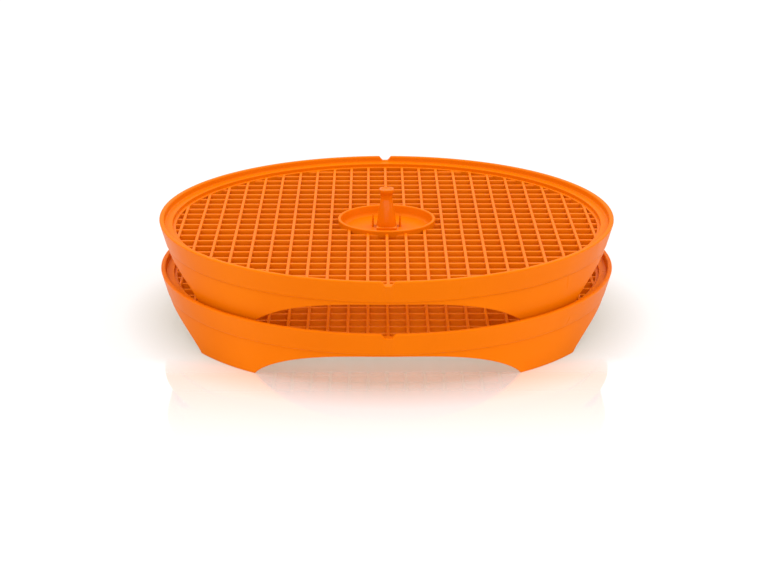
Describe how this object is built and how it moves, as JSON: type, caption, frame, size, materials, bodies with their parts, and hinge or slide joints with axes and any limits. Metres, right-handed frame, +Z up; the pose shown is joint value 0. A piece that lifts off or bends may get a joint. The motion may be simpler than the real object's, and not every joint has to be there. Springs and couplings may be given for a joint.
{
  "type": "food dehydrator tray stack",
  "caption": "Round mesh drying trays for a food dehydrator, stacked on arched skirts, each with a centre dish and grip post; the upper tray lifts off.",
  "frame": {"origin": "centre of the stack on the surface that its feet stand on", "axes": "+Z up; -Y is the front, through one arch and one rim notch; +X is to the right"},
  "size_m": [0.33, 0.3296, 0.0938],
  "materials": {
    "tray_plastic": "smooth orange moulding, semi-gloss"
  },
  "bodies": {
    "lower_tray": {"lower_rim_and_skirt": "tray_plastic", "lower_grid": "tray_plastic", "lower_dish": "tray_plastic", "lower_grip_post": "tray_plastic"},
    "upper_tray": {"upper_rim_and_skirt": "tray_plastic", "upper_grid": "tray_plastic", "upper_dish": "tray_plastic", "upper_grip_post": "tray_plastic"}
  },
  "joints": [
    {"name": "upper_tray_lift", "type": "slide", "parent": "lower_tray", "child": "upper_tray", "axis": [0, 0, 1], "range_m": [0, 0.1]}
  ]
}
